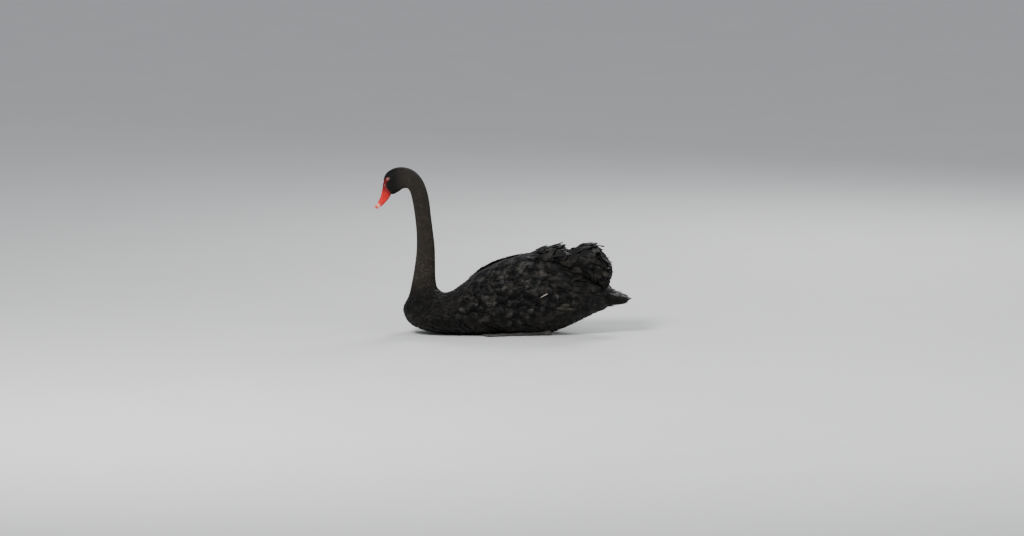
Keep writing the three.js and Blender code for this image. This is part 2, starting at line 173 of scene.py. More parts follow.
def swell(station, angle):
    """The pad is a little thicker towards the rear."""
    x, _, radius = wing_place(station, angle)
    dome = np.sqrt(np.clip(1 - radius**2, 0, 1)) ** 0.6
    return WING_SWELL * (0.88 + 0.12 * x) * dome


print("the wing swells by up to", round(float(swell(WING_STATION, WING_ANGLE)) / MM, 1), "mm")

# %% Where the face is bare
# Seen from the side, the edge runs from above the bill to the eye, to the corner of the mouth and back round
FACE_EDGE = np.array([
    (-430, 486), (-400, 486.5), (-396, 492), (-391, 499), (-386, 500), (-384.5, 493), (-388, 486), (-389, 476),
    (-386, 462), (-378, 451), (-369, 443.5), (-358, 420), (-430, 420), (-430, 486),
], float) * MM
FACE_BLEND = 1.2 * MM


def line_distance(points, line):
    """Distance from each point to a line of straight pieces, as seen from the side."""
    x, z = points[..., 0], points[..., 2]
    near = np.full(x.shape, 1.0)
    for (ax, az), (bx, bz) in zip(line, line[1:]):
        run, rise = bx - ax, bz - az
        t = np.clip(((x - ax) * run + (z - az) * rise) / (run**2 + rise**2), 0, 1)
        near = np.minimum(near, np.hypot(x - ax - t * run, z - az - t * rise))
    return near


def bare(points):
    """1 on the bare red face and 0 on feathers, with a soft edge."""
    x, z = points[..., 0], points[..., 2]
    inside = np.zeros(x.shape, bool)
    for (ax, az), (bx, bz) in zip(FACE_EDGE, FACE_EDGE[1:]):
        crosses = (az > z) != (bz > z)
        inside ^= crosses & (x < (bx - ax) * (z - az) / (bz - az + 1e-12) + ax)
    near = line_distance(points, FACE_EDGE)
    return np.clip(0.5 + np.where(inside, near, -near) / FACE_BLEND / 2, 0, 1)


print("the edge of the bare face has", len(FACE_EDGE) - 1, "sides")

# %% How deep the skin lies
EYE = np.array([-383.4, 11.8, 498.0]) * MM
EYE_RADIUS = 6.2 * MM
COAT_DEPTH = ([0, 1.5, 4, 8, 13, 16, 25], [0.8, 1.2, 1.4, 1.4, 2.2, 5, 6])
BROW, BROW_WIDTH = 1.4, 8.5
SOCKET, SOCKET_WIDTH = 3.4, 4.4


def skin_lift(station, angle):
    """The skin lies inside the outer form by the depth of the coat, and makes a socket round each eye."""
    depth = np.interp(station, *COAT_DEPTH) * MM
    outer = body.surface(station, angle)
    gap = np.hypot(outer[..., 0] - EYE[0], outer[..., 2] - EYE[2]) / MM
    socket = BROW * np.exp(-((gap / BROW_WIDTH) ** 2)) - SOCKET * np.exp(-((gap / SOCKET_WIDTH) ** 4))
    return swell(station, angle) - depth * (1 - bare(outer)) + socket * MM


print("the eyes stand", round(2 * EYE[1] / MM, 1), "mm apart")

# %% [markdown]
# Nearly everything here is many copies of a few small shapes. Placing thousands of objects one by one would be
# slow, so a shape that was added by hand is read into lists of places and faces, the lists are copied and bent
# as numbers, and each coat is written as one finished object.


# %% Helpers to add, read and write shapes
def add_alone(primitive, **settings):
    """Adds a primitive with nothing else selected, because an operator acts on all that is selected."""
    bpy.ops.object.select_all(action="DESELECT")
    primitive(**settings)
    return bpy.context.active_object


def read_shape(shape):
    """Takes an object apart into places and faces, and removes it."""
    mesh = shape.data
    places = np.empty(len(mesh.vertices) * 3)
    mesh.vertices.foreach_get("co", places)
    faces = [tuple(face.vertices) for face in mesh.polygons]
    bpy.data.objects.remove(shape)
    bpy.data.meshes.remove(mesh)
    return places.reshape(-1, 3), faces


def write_piece(name, places, faces, replaced, maps, tone):
    """Writes one smooth object whose origin is the world's, with its UV maps and a tone for each place."""
    mesh = bpy.data.meshes.new(name)
    sizes = np.array([len(face) for face in faces])
    corners = np.concatenate(faces)
    mesh.vertices.add(len(places))
    mesh.vertices.foreach_set("co", np.asarray(places, np.float32).reshape(-1))
    mesh.loops.add(len(corners))
    mesh.loops.foreach_set("vertex_index", corners.astype(np.int32))
    mesh.polygons.add(len(sizes))
    mesh.polygons.foreach_set("loop_start", np.concatenate([[0], np.cumsum(sizes)[:-1]]).astype(np.int32))
    mesh.polygons.foreach_set("use_smooth", np.ones(len(sizes), bool))
    for label, per_vertex in maps.items():
        layer = mesh.uv_layers.new(name=label)
        layer.data.foreach_set("uv", np.asarray(per_vertex, np.float32)[corners].reshape(-1))
    mesh.attributes.new("tone", "FLOAT", "POINT").data.foreach_set("value", np.asarray(tone, np.float32))
    mesh.update(calc_edges=True)
    mesh.validate()
    piece = bpy.data.objects.new(name, mesh)
    bpy.context.scene.collection.objects.link(piece)
    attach(piece, "root")
    if replaced:
        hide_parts(*replaced)
    print(f"{name}: {int(np.sum(sizes - 2))} triangles")


# %% [markdown]
# Under the feathers lies the skin, which shows only as the red of the bare face. It could be bridged from ribs,
# but a ball with many rings already has closed ends. Each ring is moved to its station on the body, so the poles
# of the ball become the face and the root of the tail. The underside is flat where it rests on the floor.


# %% The skin
def ball(segments, rings):
    """A ball as its faces and how far along (0 to 1) and how far round (in radians) each place lies."""
    sphere = add_alone(bpy.ops.mesh.primitive_uv_sphere_add, segments=segments, ring_count=rings, radius=1)
    places, faces = read_shape(sphere)
    along = 1 - np.arccos(np.clip(places[:, 2], -1, 1)) / math.pi
    return faces, along, np.arctan2(places[:, 1], places[:, 0]) % TURN


def round_map(along, around):
    return {"OFBake": np.stack([along, around / TURN], -1)}


def draw_over(form, along, around, lift):
    """Moves a ball's places over a form, with both poles on the form itself."""
    station = along * form.last
    places = form.point(station, around, lift)
    poles = (along < 1e-6) | (along > 1 - 1e-6)
    places[poles] = form.surface(station[poles], around[poles])
    return places


def skin():
    faces, along, around = ball(144, 520)
    station = along * body.last
    places = draw_over(body, along, around, skin_lift(station, around))
    places[:, 2] = np.maximum(places[:, 2], 0)
    replaced = ("head", "neck_upper", "neck_middle", "neck_lower", "torso")
    write_piece("skin", places, faces, replaced, round_map(along, around),
                bare(body.surface(station, around)))


skin()

# %% [markdown]
# A feather is a flat vane, narrow at its foot and rounded at its tip. It is modelled once as a thin closed leaf:
# a grid gets a thickness from Solidify and is then pulled to the outline. The fine tufts of the neck and face
# are far smaller, so a slim cone of eight faces is enough for each of them.


# %% Feather shapes: a tuft, a leaf and a plume
def leaf_shape(across, along, foot=0.35, belly=0.5, tip=2.2):
    """A closed leaf as across (-1 to 1, shaped), along (0 to 1), face (up or down), plain across, and faces."""
    leaf = add_alone(bpy.ops.mesh.primitive_grid_add, x_subdivisions=across, y_subdivisions=along, size=2)
    wall = leaf.modifiers.new("Wall", "SOLIDIFY")
    wall.thickness = 2
    wall.offset = 0
    bpy.ops.object.modifier_apply(modifier="Wall")
    places, faces = read_shape(leaf)
    t = 1 - (1 - (places[:, 1] + 1) / 2) ** 1.35
    swelling = foot + (1 - foot) * np.sin(np.clip(t / belly, 0, 1) * math.pi / 2)
    rounding = (1 - np.clip((t - belly) / (1 - belly), 0, 0.995) ** tip) ** (1 / tip)
    return places[:, 0] * swelling * rounding, t, np.sign(places[:, 2]), places[:, 0], np.array(faces)


def tuft_shape():
    """A closed sliver of eight faces, made of a four-sided cone with a fan for its foot."""
    cone = add_alone(bpy.ops.mesh.primitive_cone_add, vertices=4, radius1=1, radius2=0, depth=2,
                     end_fill_type="TRIFAN")
    places, faces = read_shape(cone)
    root = (places[:, 2] < 0) & (np.hypot(places[:, 0], places[:, 1]) < 0.1)
    t = np.select([root, places[:, 2] > 0], [0.0, 1.0], 0.42)
    return places[:, 0], t, -places[:, 1], places[:, 0], np.array(faces)


TUFT = tuft_shape()
LEAF = leaf_shape(2, 6)
LONG_LEAF = leaf_shape(2, 9, 0.3, 0.6)
PLUME = leaf_shape(6, 14, 0.2, 0.62, 2.0)
print("faces of a tuft, leaf and plume:", len(TUFT[4]), len(LEAF[4]), len(PLUME[4]))

# %% [markdown]
# Feathers lie in rows like tiles. A row is spaced for the widest part of the body, and where the body is
# narrower some places are left out, so that the coat is equally dense all over.


# %% Places in even rows
ROUND_STEPS = 181


def ring_run(form, station, angles):
    """How far it is round the form at a station, measured from the first angle to each of them."""
    ring = form.surface(np.full(len(angles), station), angles)
    return np.concatenate([[0], np.cumsum(np.linalg.norm(np.diff(ring, axis=0), axis=-1))])


def even_rows(form, first, last, pitch, spacing, turns=(0, TURN), jitter=0.35):
    """Stations and angles of feathers. Pitch and spacing are millimetres between rows and in a row."""
    angles = np.linspace(*turns, ROUND_STEPS)
    at = first
    found = []
    row = 0
    while at < last:
        reach = np.linalg.norm(form.frame(np.full(ROUND_STEPS, at), angles)[0], axis=-1)
        run = ring_run(form, at, angles)
        count = max(int(run[-1] / MM / np.interp(at, *spacing)), 3)
        part = (np.arange(count) + 0.5 * (row % 2) + random.uniform(-jitter, jitter, count)) / count % 1
        turn = np.interp(part * run[-1], run, angles)
        step = np.interp(at, *pitch) * MM / reach.max()
        kept = random.random(count) < np.interp(turn, angles, reach) / reach.max()
        station = at + step * random.uniform(-jitter, jitter, count)
        found.append(np.stack([station, turn], -1)[kept])
        at += step
        row += 1
    return np.concatenate(found).T


BREAST_STATION, FLANK_STATION = 14, 18
for station in (BREAST_STATION, FLANK_STATION):
    girth = ring_run(body, station, np.linspace(0, TURN, ROUND_STEPS))[-1]
    print("round the body at station", station, "it is", round(girth / MM), "mm")

# %% [markdown]
# A feather bends with the body from its root, lies a little higher at its tip than the feather under it, and may
# turn, tilt, curl and wave at its edges. Bending one leaf at a time with modifiers would take hours, so a whole
# layer is worked out at once: a path for each feather, and the leaf's places set off from that path.

# %% Lay copies of a feather shape on a form
FLOOR_GAP = 0.4 * MM
WHOLE_WAVE = 6.28
SMALLEST_RADIUS = 4 * MM
# Size of the patch that each feather takes on the map for baking
PATCH = np.array([0.0015, 0.003])


def each(values, count, unit=MM):
    """One value per feather, as a column, from a number or a list."""
    return np.broadcast_to(np.asarray(values, float) * unit, count)[:, None]


def unit_length(vectors):
    return vectors / np.maximum(np.linalg.norm(vectors, axis=-1, keepdims=True), 1e-9)


def lay(form, station, angle, length, width, shape, lift, base=None, heading=0.0, roll=0.0, curl=0.0,
        thickness=0.5, camber=0.08, ripple=0.0, waves=3.0, last=None):
    """Each feather follows the form from its root. Sizes in millimetres, each a number or one per feather."""
    x, t, face, plain, faces = shape
    count = len(station)
    length, width, curl, ripple, thickness = [each(v, count) for v in (length, width, curl, ripple, thickness)]
    low, high = [each(v, count) for v in lift]
    heading = each(heading, count, 1)
    along, around, _ = form.frame(station, angle)
    steps, at = np.unique(t.round(4), return_inverse=True)
    run = length * np.cos(heading) / np.linalg.norm(along, axis=-1)[:, None]
    run = np.minimum(run, (form.last - 0.15 if last is None else last) - station[:, None])
    turn = length * np.sin(heading) / np.maximum(np.linalg.norm(around, axis=-1), SMALLEST_RADIUS)[:, None]
    s, a = station[:, None] + run * steps, angle[:, None] + turn * steps
    height = low + (high - low) * steps + curl * steps**3
    if base is not None:
        height = height + base(s, a)
    path = form.point(s, a, height)
    tangent = unit_length(np.gradient(path, axis=1))
    across = unit_length(np.cross(tangent, form.frame(s, a)[2]))
    up = np.cross(across, tangent)
    tilt = each(roll, count, 1)[..., None]
    across, up = across * np.cos(tilt) + up * np.sin(tilt), up * np.cos(tilt) - across * np.sin(tilt)
    phase = random.uniform(0, WHOLE_WAVE, (count, 1))
    edge = np.sin(phase + waves * TURN * t + 1.2 * np.sign(x)) * np.abs(x) ** 1.5 * t
    rise = face * thickness / 2 - camber * width * x**2 + ripple * edge
    places = path[:, at] + across[:, at] * (x * width / 2)[..., None] + up[:, at] * rise[..., None]
    places[..., 2] = np.maximum(places[..., 2], FLOOR_GAP)
    corners = (faces[None] + (np.arange(count) * len(x))[:, None, None]).reshape(-1, faces.shape[1])
    root = np.stack([station / form.last, (angle / TURN) % 1], -1)[:, None]
    patch = root + np.stack([plain, t], -1) * PATCH
    vane = np.broadcast_to(np.stack([(plain + 1) / 2, t], -1), (count, len(x), 2))
    tone = np.broadcast_to(random.random((count, 1)), (count, len(x)))
    return places.reshape(-1, 3), corners.tolist(), patch.reshape(-1, 2), vane.reshape(-1, 2), tone.reshape(-1)


def join(layers):
    """Joins layers into one. Each holds places, faces, and then its maps and tones."""
    starts = np.cumsum([0] + [len(layer[0]) for layer in layers])
    faces = [[corner + int(start) for corner in face]
             for layer, start in zip(layers, starts) for face in layer[1]]
    return faces, [np.concatenate(part) for part in zip(*[(layer[0], *layer[2:]) for layer in layers])]


def coat_piece(name, layers, replaced=()):
    faces, (places, patch, vane, tone) = join(layers)
    write_piece(name, places, faces, replaced, {"OFBake": patch, "vane": vane}, tone)


print("a feather is held", FLOOR_GAP / MM, "mm or more above the floor")

# %% [markdown]
# The neck and head wear a velvet of very short feathers that point away from the bill. Hair particles could make
# it, but they don't export, so thousands of tufts are laid instead. They are smallest round the eye and longer
# down the neck, and none grows on the bare face or over the eye.

# %% Velvet of the head and neck
EYE_CLEARING = 5.6 * MM
# Stations, and millimetres at each of them: between rows, in a row, and the length and width of a tuft
HEAD_VELVET = ([0, 2, 6], [0.7, 1.2, 2.0], [0.8, 1.2, 2.0], [2.2, 3.6, 6.5], [1.1, 1.5, 2.6])
NECK_VELVET = ([6, 14], [2.2, 4.2], [2.0, 3.8], [7, 15], [2.7, 5.5])


def velvet(first, last, stations, pitch, spacing, length, width):
    s, a = even_rows(body, first, last, (stations, pitch), (stations, spacing))
    root = body.surface(s, a)
    off_the_eye = np.hypot(root[:, 0] - EYE[0], root[:, 2] - EYE[2]) > EYE_CLEARING
    kept = (bare(root) < 0.3) & off_the_eye
    s, a = s[kept], a[kept]
    grow = random.uniform(0.8, 1.25, len(s))
    long, wide = np.interp(s, stations, length), np.interp(s, stations, width)
    return lay(body, s, a, long * grow, wide * grow, TUFT, (-0.5, long * 0.12), skin_lift,
               heading=random.normal(0, 0.1, len(s)), thickness=wide * 0.3)


coat_piece("head_velvet", [velvet(0.25, 6, *HEAD_VELVET)])
coat_piece("neck_velvet", [velvet(5.9, 14.4, *NECK_VELVET)])

# %% [markdown]
# The breast, the back and the flanks carry rounded feathers that overlap by more than half, each with a soft
# pale edge. They grow from the size of a fingernail at the neck to that of a thumb on the flank. None is laid
# where the wing covers the flank, because nobody would see it there.

# %% Feathers of the torso
# Stations, and millimetres at each of them
TORSO_PITCH = ([13.5, 16, 20, 25], [5.5, 9, 13, 13])
TORSO_SPACING = ([13.5, 16, 20, 25], [6, 9, 12, 11])
TORSO_LENGTH = ([13.5, 16, 18, 21, 25], [15, 24, 32, 40, 40])
TORSO_LIFT = ([13.5, 16, 20], [1.5, 3.5, 5])
UNDER_WING = 0.8
WING_END = 24.6


def contour_feathers(first, last):
    s, a = even_rows(body, first, last, TORSO_PITCH, TORSO_SPACING)
    kept = wing_place(s, a)[2] > UNDER_WING
    s, a = s[kept], a[kept]
    long = np.interp(s, *TORSO_LENGTH) * random.uniform(0.85, 1.15, len(s))
    return lay(body, s, a, long, long * 0.62, LEAF, (-1.5, np.interp(s, *TORSO_LIFT)), skin_lift,
               heading=random.normal(0, 0.12, len(s)), roll=random.normal(0, 0.08, len(s)), curl=1.0)


coat_piece("breast_feathers", [contour_feathers(13.6, 17.2)])
coat_piece("torso_feathers", [contour_feathers(17.1, WING_END)])

# %% [markdown]
# The folded wing is tiled from front to back: small rounded coverts first, then the long greater coverts and the
# secondaries. The rows start at the rear, so that each later row lies on the one behind it. The edges of real
# vanes fray, so loose barbs, which are tufts again, are strewn over them.

# %% Feathers of the wings
# Places along the wing, -1 at the front, and millimetres at each of them
COVERT_LENGTH = ([-0.95, -0.5, 0.0, 0.5], [30, 46, 74, 92])
COVERT_WIDTH = ([-0.95, -0.5, 0.0, 0.5], [24, 34, 44, 42])
COVERT_LIFT = ([-0.95, 0.6], [3.2, 4.2])
WING_ROWS = np.arange(0.7, -0.95, -0.075)
FLANK_RADIUS = 122


def wing_rows(side):
    layers = []
    for i, x in enumerate(WING_ROWS):
        reach = (1 - abs(x) ** WING_CORNERS) ** (1 / WING_CORNERS)
        long, wide = np.interp(x, *COVERT_LENGTH), np.interp(x, *COVERT_WIDTH)
        count = int(2 * reach * WING_TURN * FLANK_RADIUS / (wide * 0.5))
        y = reach * (2 * (np.arange(count) + 0.5 * (i % 2) + random.uniform(-0.35, 0.35, count)) / count - 1)
        station = WING_STATION + WING_REACH * (x + random.uniform(-0.045, 0.045, count) - 0.07 * y * y)
        angle = np.clip(WING_ANGLE - WING_TURN * y, 0.03, 2.1)
        lift = (0.6, np.interp(x, *COVERT_LIFT) + random.uniform(-1.2, 1.0, count))
        grow = random.uniform(0.78, 1.2, count)
        heading = side * (random.normal(0, 0.17, count) - 0.12 * y)
        layers.append(lay(body, station, side * angle % TURN, long * grow, wide * grow,
                          LONG_LEAF if x > 0.1 else LEAF, lift, swell, heading=heading,
                          roll=side * random.normal(0.03, 0.05, count), curl=random.uniform(-0.8, 1.4, count),
                          thickness=0.4, camber=0.07, ripple=random.uniform(0, 0.8, count), last=WING_END))
    return layers


def wing_barbs(side):
    s, a = even_rows(body, 17.4, 24.4, ([17, 25], [6.6, 7.0]), ([17, 25], [5.8, 6.4]), (0.06, 2.05), 0.5)
    x, _, radius = wing_place(s, a)
    kept = radius < 0.98
    s, a, x = s[kept], a[kept], x[kept]
    long = np.interp(x, [-1, 0.5], [9, 16]) * random.uniform(0.7, 1.3, len(s))
    return lay(body, s, side * a % TURN, long, random.uniform(1.6, 3.4, len(s)), TUFT,
               (random.uniform(2.0, 3.8, len(s)), random.uniform(3.2, 5.2, len(s))), swell,
               heading=side * random.normal(0, 0.2, len(s)), last=WING_END)


for side, word in SIDES:
    coat_piece(f"wing_feathers_{word}", wing_rows(side), replaced=(f"wing_{word}",))
    coat_piece(f"wing_barbs_{word}", [wing_barbs(side)])

# %% [markdown]
# The tertials are the swan's ruffle: broad plumes with waved edges that rise over the rump, curl at the tip and
# hang over the tail. They grow in tiers from a mound on each side. The mound is a form of its own, because the
# plumes stand clear of the back, and a dark core fills it, so that no light falls through between them.

# %% The mound that the plumes grow from
TERTIAL_RIBS = [
    rib((40, 246), (40, 246), 0),
    rib((66, 258), (72, 234), 20),
    rib((106, 270), (106, 230), 32),
    rib((166, 279), (150, 222), 39),
    rib((198, 263), (188, 210), 41),
    rib((244, 281), (222, 198), 42),
    rib((288, 272), (262, 178), 38),
    rib((314, 240), (290, 160), 31),
    rib((328, 214), (308, 152), 20),
    rib((320, 180), (320, 180), 0),
]
MOUND_OUT = 44


def mound(side):
    return Form(TERTIAL_RIBS, 2.2, (0, -MOUND_OUT * side, 0))


def core(name, form, depth, rings):
    """The dark form that feathers are rooted in."""
    faces, along, around = ball(32, rings)
    places = draw_over(form, along, around, -depth * MM * np.sin(along * math.pi) ** 0.5)
    write_piece(name, places, faces, (), round_map(along, around), along * 0)


print("each mound stands", MOUND_OUT, "mm from the middle")

# %% Ruffled plumes over the rump
# First and last station of each tier, and the length, width and curl of its plumes
PLUME_TIERS = ((0.7, 2.6, 74, 26, 5), (2.4, 4.3, 80, 28, 9), (3.9, 7.2, 76, 26, 8))
CALM_LAST = 4
# The plumes that stand out of the outline: station, angle, length, width, height of the tip, curl
CREST = [
    (1.55, 0.1, 32, 15, 1, 4), (1.75, 0.5, 30, 16, 1, 4), (2.55, 0.15, 40, 18, 4, 8), (2.75, 0.5, 36, 20, 3, 7),
    (2.9, -0.1, 30, 14, 5, 7), (4.5, 0.2, 58, 24, 3, 6), (4.7, -0.1, 62, 22, 4, 7), (4.9, 0.5, 56, 26, 3, 8),
    (5.4, 0.1, 44, 16, 7, 9), (6.2, 0.4, 44, 22, 2, 9), (6.4, 0.9, 46, 22, 1, 9), (6.9, 0.3, 36, 18, 2, 8),
    (7.1, 0.8, 34, 18, 1, 8), (7.3, 1.3, 34, 18, 1, 8), (7.2, -0.2, 36, 18, 2, 6), (6.6, 1.4, 42, 24, 1, 9),
]


def skirt(side, first, last, turns, long, high):
    """Ruffled plumes on the rear of the wing, which carry the ruffle down to the tail."""
    s, a = even_rows(body, first, last, ([0, 25], [19, 19]), ([0, 25], [18, 18]), turns)
    grow = random.uniform(0.75, 1.15, len(s))
    return lay(body, s, side * a % TURN, long * grow, 32 * grow, PLUME, (3, high), swell,
               heading=side * (0.12 + random.normal(0, 0.16, len(s))), roll=random.normal(0, 0.16, len(s)),
               curl=random.uniform(-2, 5, len(s)), thickness=0.6, ripple=random.uniform(1.0, 3.4, len(s)),
               waves=2.4, last=24.75)


def plume_layers(side):
    """The upper plumes of the first tiers lie calmer, so that the outline stays smooth between the crests."""
    form = mound(side)
    layers = []
    for first, last, long, wide, curl in PLUME_TIERS:
        s, a = even_rows(form, first, last, ([0, 8], [17, 20]), ([0, 8], [15, 18]))
        fan = np.where(a < math.pi, a - 1.1, a - TURN + 1.1)
        grow = random.uniform(0.75, 1.2, len(s))
        calm = np.where((np.cos(a) > 0.6) & (first < CALM_LAST), 0.25, 1.0)
        layers.append(lay(form, s, a, long * grow, wide * grow, PLUME, (-7, 1.5 * calm),
                          heading=0.22 * fan + random.normal(0, 0.22, len(s)),
                          roll=random.normal(0, 0.22, len(s)),
                          curl=calm * curl * random.uniform(-0.4, 1.5, len(s)), camber=0.1,
                          ripple=random.uniform(1.2, 4.2, len(s)), waves=2.4, last=form.last - 0.25))
    s, a, long, wide, high, curl = np.array(CREST).T
    layers.append(lay(form, s, side * a % TURN, long, wide, PLUME, (-2, high), curl=curl, roll=side * 0.3,
                      camber=0.14, ripple=2.2, waves=1.6, last=form.last + 1))
    return layers + [skirt(side, 21.0, 24.3, (0.16, 1.15), 84, 10), skirt(side, 22.3, 24.5, (1.0, 1.75), 66, 5)]


for side, word in SIDES:
    coat_piece(f"tertial_plumes_{word}", plume_layers(side), replaced=(f"tertials_{word}",))
    core(f"rump_mound_{word}", mound(side), 9, 48)

# %% [markdown]
# The tail is a short fan of broad feathers under a roof of smaller ones. Tiers of leaves are spread over one
# flat form, first the long ones and then the roof, and two tiers close the fan from below.

# %% Fan of the tail
TAIL_RIBS = [
    rib((270, 112), (270, 112), 0),
    rib((292, 146), (292, 88), 42),
    rib((322, 143), (320, 88), 50),
    rib((352, 132), (350, 92), 48),
    rib((380, 122), (380, 99), 36),
    rib((399, 112), (399, 112), 0),
]
tail = Form(TAIL_RIBS, 2.4)
# First station, number, spread, length, width, lift of root and tip, and the middle: 0 above, half a turn below
TAIL_TIERS = (
    (1.5, 16, 1.5, 78, 19, (-3, 0.5), 0.0),
    (1.1, 17, 1.55, 62, 17, (-2, 2.0), 0.0),
    (0.75, 17, 1.6, 50, 16, (-1, 3.2), 0.0),
    (0.45, 17, 1.6, 44, 15, (0, 4.4), 0.0),
    (1.2, 13, 1.4, 76, 19, (-3, 0.5), math.pi),
    (0.6, 13, 1.5, 56, 17, (-1, 2.5), math.pi),
)


def tail_tier(first, count, spread, long, wide, lift, middle):
    """The outer feathers come first, so that the middle ones lie on them."""
    a = middle + np.linspace(-spread, spread, count) + random.uniform(-0.04, 0.04, count)
    s = first + 0.25 * np.cos(a - middle) + random.uniform(-0.06, 0.06, count)
    order = np.argsort(-np.abs(a - middle))
    s, a = s[order], a[order]
    grow = random.uniform(0.93, 1.05, count)
    return lay(tail, s, a % TURN, long * grow, wide * grow, LONG_LEAF, lift, heading=0.02 * np.sign(a - middle),
               roll=random.normal(0, 0.05, count), thickness=0.6, camber=0.05, last=tail.last - 0.12)


coat_piece("tail_feathers", [tail_tier(*tier) for tier in TAIL_TIERS], replaced=("tail",))
core("tail_core", tail, 4, 40)

# %% [markdown]
# The flight feathers of a black swan are white. Folded, they show only as slivers at the edge of the wing and as
# a light point on the tail. A patch of paler grey-brown feathers lies on the flank. Both are leaves laid one by
# one at chosen places, because chance would seldom put them where they are looked for.

# %% White flight feathers and paler flank feathers
# Form, station, angle, length, width, lift of root and tip, heading
WHITE_TIPS = (
    (body, 20.82, 1.47, 27, 3.4, (13, 15), -0.42),
    (body, 22.3, 1.76, 9, 3, (8, 10), -0.2),
    (tail, 3.0, 0.42, 15, 5, (4, 5.5), 0.08),
)
# Station, angle, length, width
FLANK_PATCH = ((21.55, 1.72, 32, 15), (21.75, 1.66, 28, 13), (21.9, 1.78, 24, 11))


def white_tip(side, form, station, angle, long, wide, lift, heading):
    return lay(form, np.array([station]), np.array([side * angle % TURN]), long, wide, LONG_LEAF, lift,
               heading=side * heading, camber=0.04)


def pale_flank_patch(side):
    s, a, long, wide = np.array(FLANK_PATCH).T
    return lay(body, s, side * a % TURN, long, wide, LONG_LEAF, (4.8, 6.6), swell, heading=side * 0.1,
               roll=side * 0.1, thickness=0.4)


coat_piece("white_tips", [white_tip(side, *tip) for side, _ in SIDES for tip in WHITE_TIPS])
coat_piece("pale_flank_feathers", [pale_flank_patch(side) for side, _ in SIDES])

# %% [markdown]
# The bill is one smooth horny form that leaves the face at the feather edge. Cutting the mouth and nostrils with
# a boolean would break up its even faces, so they are pressed in by moving places: the mouth line is a fine
# groove with soft lips, the nostrils are pits halfway down, and a broad nail caps the tip.

# %% The bill
BILL_RIBS = [
    rib((-388, 470), (-388, 470), 0),
    rib((-398.5, 484), (-372, 458), 11.5),
    rib((-401, 468), (-373.5, 446.5), 13.5, 0.4),
    rib((-403.8, 454), (-379.5, 434.5), 14.3, 0.36),
    rib((-407, 441), (-389, 423), 14.3, 0.36),
    rib((-412.3, 428.5), (-399, 413), 14.6, 0.36),
    rib((-418.5, 418), (-409.5, 405), 13.6, 0.38),
    rib((-424, 410), (-418.5, 400.5), 9.5, 0.4),
    rib((-427, 402), (-427, 402), 0),
]
MOUTH_LINE = np.array([
    (-368, 452), (-376, 446), (-384, 437), (-393, 426.5), (-403, 416), (-412, 407), (-419, 400.8),
], float) * MM
NOSTRIL = np.array([-402.5, 12.6, 440.0]) * MM
NOSTRIL_SLOPE = (-0.44, 0.9)
# Millimetres that each detail is pressed in, or stands out where it is negative, and its size
GROOVE, GROOVE_WIDTH = 0.9, 0.55
LIP, LIP_PLACE, LIP_WIDTH = -0.25, 1.6, 1.0
PIT, PIT_LENGTH, PIT_WIDTH = 2.2, 4.4, 1.2
RIM, RIM_LENGTH, RIM_WIDTH = -0.35, 5.6, 2.4
NAIL = -0.5
NAIL_FIRST, NAIL_LAST = 0.865, 0.985
bill_form = Form(BILL_RIBS, 2.4)


def nostril(places):
    offset = places - NOSTRIL * np.array([1, 0, 1])
    down = offset[:, 0] * NOSTRIL_SLOPE[0] - offset[:, 2] * NOSTRIL_SLOPE[1]
    over = offset[:, 0] * NOSTRIL_SLOPE[1] + offset[:, 2] * NOSTRIL_SLOPE[0]
    pit = PIT * np.exp(-((down / (PIT_LENGTH * MM)) ** 4) - (over / (PIT_WIDTH * MM)) ** 4)
    return pit + RIM * np.exp(-((np.hypot(down / RIM_LENGTH, over / RIM_WIDTH) / MM - 1) ** 2) / 0.12)


def bill():
    faces, along, around = ball(96, 260)
    station = along * bill_form.last
    places = bill_form.surface(station, around * bill_form.turn)
    inward = bill_form.frame(station, around * bill_form.turn)[2] * -1
    gap = line_distance(places, MOUTH_LINE)
    groove = GROOVE * np.exp(-((gap / (GROOVE_WIDTH * MM)) ** 2))
    lip = LIP * np.exp(-(((gap - LIP_PLACE * MM) / (LIP_WIDTH * MM)) ** 2))
    nail = NAIL / (1 + np.exp(-(along - NAIL_FIRST) / 0.006)) * (np.cos(around) > -0.2) * (along < NAIL_LAST)
    places = places + inward * ((groove + lip + nostril(places) + nail) * MM)[:, None]
    write_piece("bill", places, faces, ("bill_upper", "bill_lower"), round_map(along, around), along)


bill()

# %% [markdown]
# The eye is a glossy ball in its socket that looks out between fleshy lids, a thin pale ring that lies with the
# slope of the cheek. The ball swells a little at its front, as a cornea does, and a torus pulled to an oval is
# the lids. The right eye is made from the same numbers, with its faces turned so that they still point outwards.

# %% Eyes and lids
CORNEA, CORNEA_SIZE = 0.05, 0.2
LID_LENGTH, LID_NARROWING = 4.7, 0.9
LID_OUT, LID_HEIGHT = 16.5, 4.2


def eye(side, word):
    faces, along, around = ball(48, 64)
    wide = np.sin(along * math.pi)
    turned_out = np.stack([wide * np.cos(around), np.cos(along * math.pi), wide * np.sin(around)], -1)
    swollen = EYE_RADIUS * (1 + CORNEA * np.exp(-((along / CORNEA_SIZE) ** 2)))
    places = turned_out * swollen[:, None] + EYE
    places[:, 1] *= -side
    write_piece(f"eyeball_{word}", places, [face[::side] for face in faces], (f"eye_{word}",),
                round_map(along, around), along)


